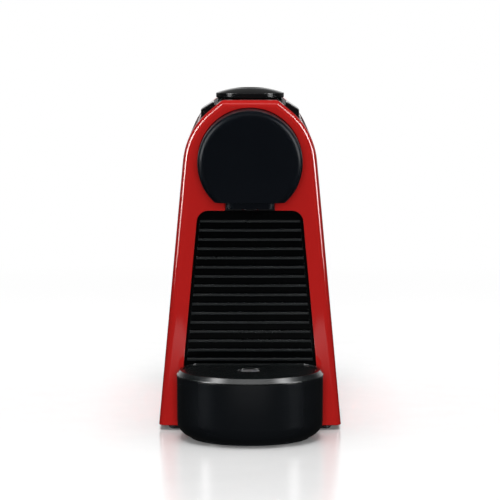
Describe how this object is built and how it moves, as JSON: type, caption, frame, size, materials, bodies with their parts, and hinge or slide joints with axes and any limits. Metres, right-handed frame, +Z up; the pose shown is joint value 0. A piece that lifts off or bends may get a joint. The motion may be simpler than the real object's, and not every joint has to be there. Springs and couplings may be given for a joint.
{
  "type": "pod coffee machine",
  "caption": "Compact pod coffee machine: red tapered body, round black head over a round drip tray, ribbed container front, top lever, rear water tank.",
  "frame": {"origin": "on the surface it stands on, in the middle of its width and of its whole depth", "axes": "+Z up, -Y towards the front (drip tray), +Y towards the water tank, +X to the right seen from the front"},
  "size_m": [0.11, 0.325, 0.2053],
  "materials": {
    "red_gloss": "glossy red moulded shell",
    "black_satin": "satin black moulding",
    "black_gloss": "polished black moulding",
    "black_structure": "fine spark-eroded black",
    "inner_grey": "glass-filled grey moulding",
    "white_acetal": "natural acetal",
    "clear_tank": "smoked clear",
    "steel": "brushed",
    "spring_steel": "drawn wire",
    "polished_steel": "polished",
    "cast_aluminium": "as cast",
    "rubber_black": "matt",
    "silicone": "translucent white",
    "board_green": "solder mask",
    "component_dark": "moulded",
    "coil_blue": "resin",
    "brass_fitting": "turned"
  },
  "bodies": {
    "housing": {"outer_cover": "red_gloss", "head_cap": "black_satin", "spout_housing": "black_satin", "outlet_nozzle": "black_gloss", "coffee_duct": "inner_grey", "brew_frame_right": "steel", "brew_frame_left": "steel", "frame_spacers": "steel", "extraction_plate": "polished_steel", "lever_axle": "spring_steel", "top_cover": "black_structure", "espresso_spring": "spring_steel", "lungo_spring": "spring_steel", "button_switches": "component_dark", "inner_chassis": "black_structure", "rear_wall": "black_structure", "base_plate": "black_structure", "rubber_feet": "rubber_black", "tank_dock": "black_structure", "cord_gland": "rubber_black", "dock_seal": "silicone", "pump_body": "inner_grey", "pump_spring": "spring_steel", "pump_coil": "coil_blue", "pump_yoke": "steel", "pump_mount": "rubber_black", "pump_cradle": "steel", "water_hoses": "silicone", "pressure_pipe": "brass_fitting", "flow_meter": "inner_grey", "thermoblock": "cast_aluminium", "inlet_pipe": "brass_fitting", "thermostats": "component_dark", "main_board": "board_green", "board_components": "component_dark", "screws": "steel"},
    "lever": {"lever": "black_structure", "lever_pad": "black_gloss", "crank_pins": "spring_steel"},
    "cage": {"capsule_cage": "steel", "cage_seal": "silicone", "piercing_needles": "polished_steel", "slide_shoes": "white_acetal", "cage_carriage": "inner_grey"},
    "espresso_key": {"espresso_button": "black_gloss"},
    "lungo_key": {"lungo_button": "black_gloss"},
    "container": {"capsule_container": "black_satin", "container_front": "black_satin"},
    "drip_drum": {"drip_base": "black_satin"},
    "drip_cup": {"drip_tray": "black_structure"},
    "cup_rest": {"cup_support": "black_satin", "drain_insert": "polished_steel"},
    "tank": {"water_tank": "clear_tank", "lid_hinge_pin": "spring_steel", "tank_filter": "white_acetal", "tank_valve_spring": "spring_steel"},
    "lid": {"tank_lid": "black_satin"},
    "valve": {"tank_valve": "white_acetal"},
    "piston": {"pump_piston": "spring_steel"},
    "rotor": {"flow_meter_rotor": "white_acetal"}
  },
  "joints": [
    {"name": "lever_hinge", "type": "hinge", "parent": "housing", "child": "lever", "pos_m": [0, 0.017, 0.15], "axis": [-1, 0, 0], "range_deg": [0, 75]},
    {"name": "cage_slide", "type": "slide", "parent": "housing", "child": "cage", "axis": [0, 1, 0], "range_m": [0, 0.0306]},
    {"name": "espresso_press", "type": "slide", "parent": "housing", "child": "espresso_key", "axis": [0, 0, -1], "range_m": [0, 0.0012], "stiffness_N_per_m": 400, "springref_m": -0.0006, "deforming": ["espresso_spring"]},
    {"name": "lungo_press", "type": "slide", "parent": "housing", "child": "lungo_key", "axis": [0, 0, -1], "range_m": [0, 0.0012], "stiffness_N_per_m": 400, "springref_m": -0.0006, "deforming": ["lungo_spring"]},
    {"name": "container_slide", "type": "slide", "parent": "housing", "child": "container", "axis": [0, -1, 0], "range_m": [0, 0.058]},
    {"name": "drip_drum_slide", "type": "slide", "parent": "container", "child": "drip_drum", "axis": [0, -1, 0], "range_m": [0, 0.035]},
    {"name": "drip_cup_lift", "type": "slide", "parent": "drip_drum", "child": "drip_cup", "axis": [0, 0, 1], "range_m": [0, 0.034]},
    {"name": "cup_rest_lift", "type": "slide", "parent": "drip_cup", "child": "cup_rest", "axis": [0, 0, 1], "range_m": [0, 0.03]},
    {"name": "tank_lift", "type": "slide", "parent": "housing", "child": "tank", "axis": [0, 0, 1], "range_m": [0, 0.09]},
    {"name": "lid_hinge", "type": "hinge", "parent": "tank", "child": "lid", "pos_m": [0, 0.1603, 0.1783], "axis": [-1, 0, 0], "range_deg": [0, 95]},
    {"name": "valve_slide", "type": "slide", "parent": "tank", "child": "valve", "axis": [0, 0, 1], "range_m": [-0.0025, 0], "deforming": ["tank_valve_spring"]},
    {"name": "piston_stroke", "type": "slide", "parent": "housing", "child": "piston", "axis": [0, 0, 1], "range_m": [0, 0.004], "stiffness_N_per_m": 300, "deforming": ["pump_spring"]},
    {"name": "rotor_spin", "type": "hinge", "parent": "housing", "child": "rotor", "pos_m": [-0.014, 0.0682, 0.0125], "axis": [0, 0, 1], "continuous": true}
  ],
  "couplings": [
    {"joint": "cage_slide", "follows": "lever_hinge", "m_per_rad": 0.023253},
    {"joint": "valve_slide", "follows": "tank_lift", "ratio": -0.0277}
  ]
}
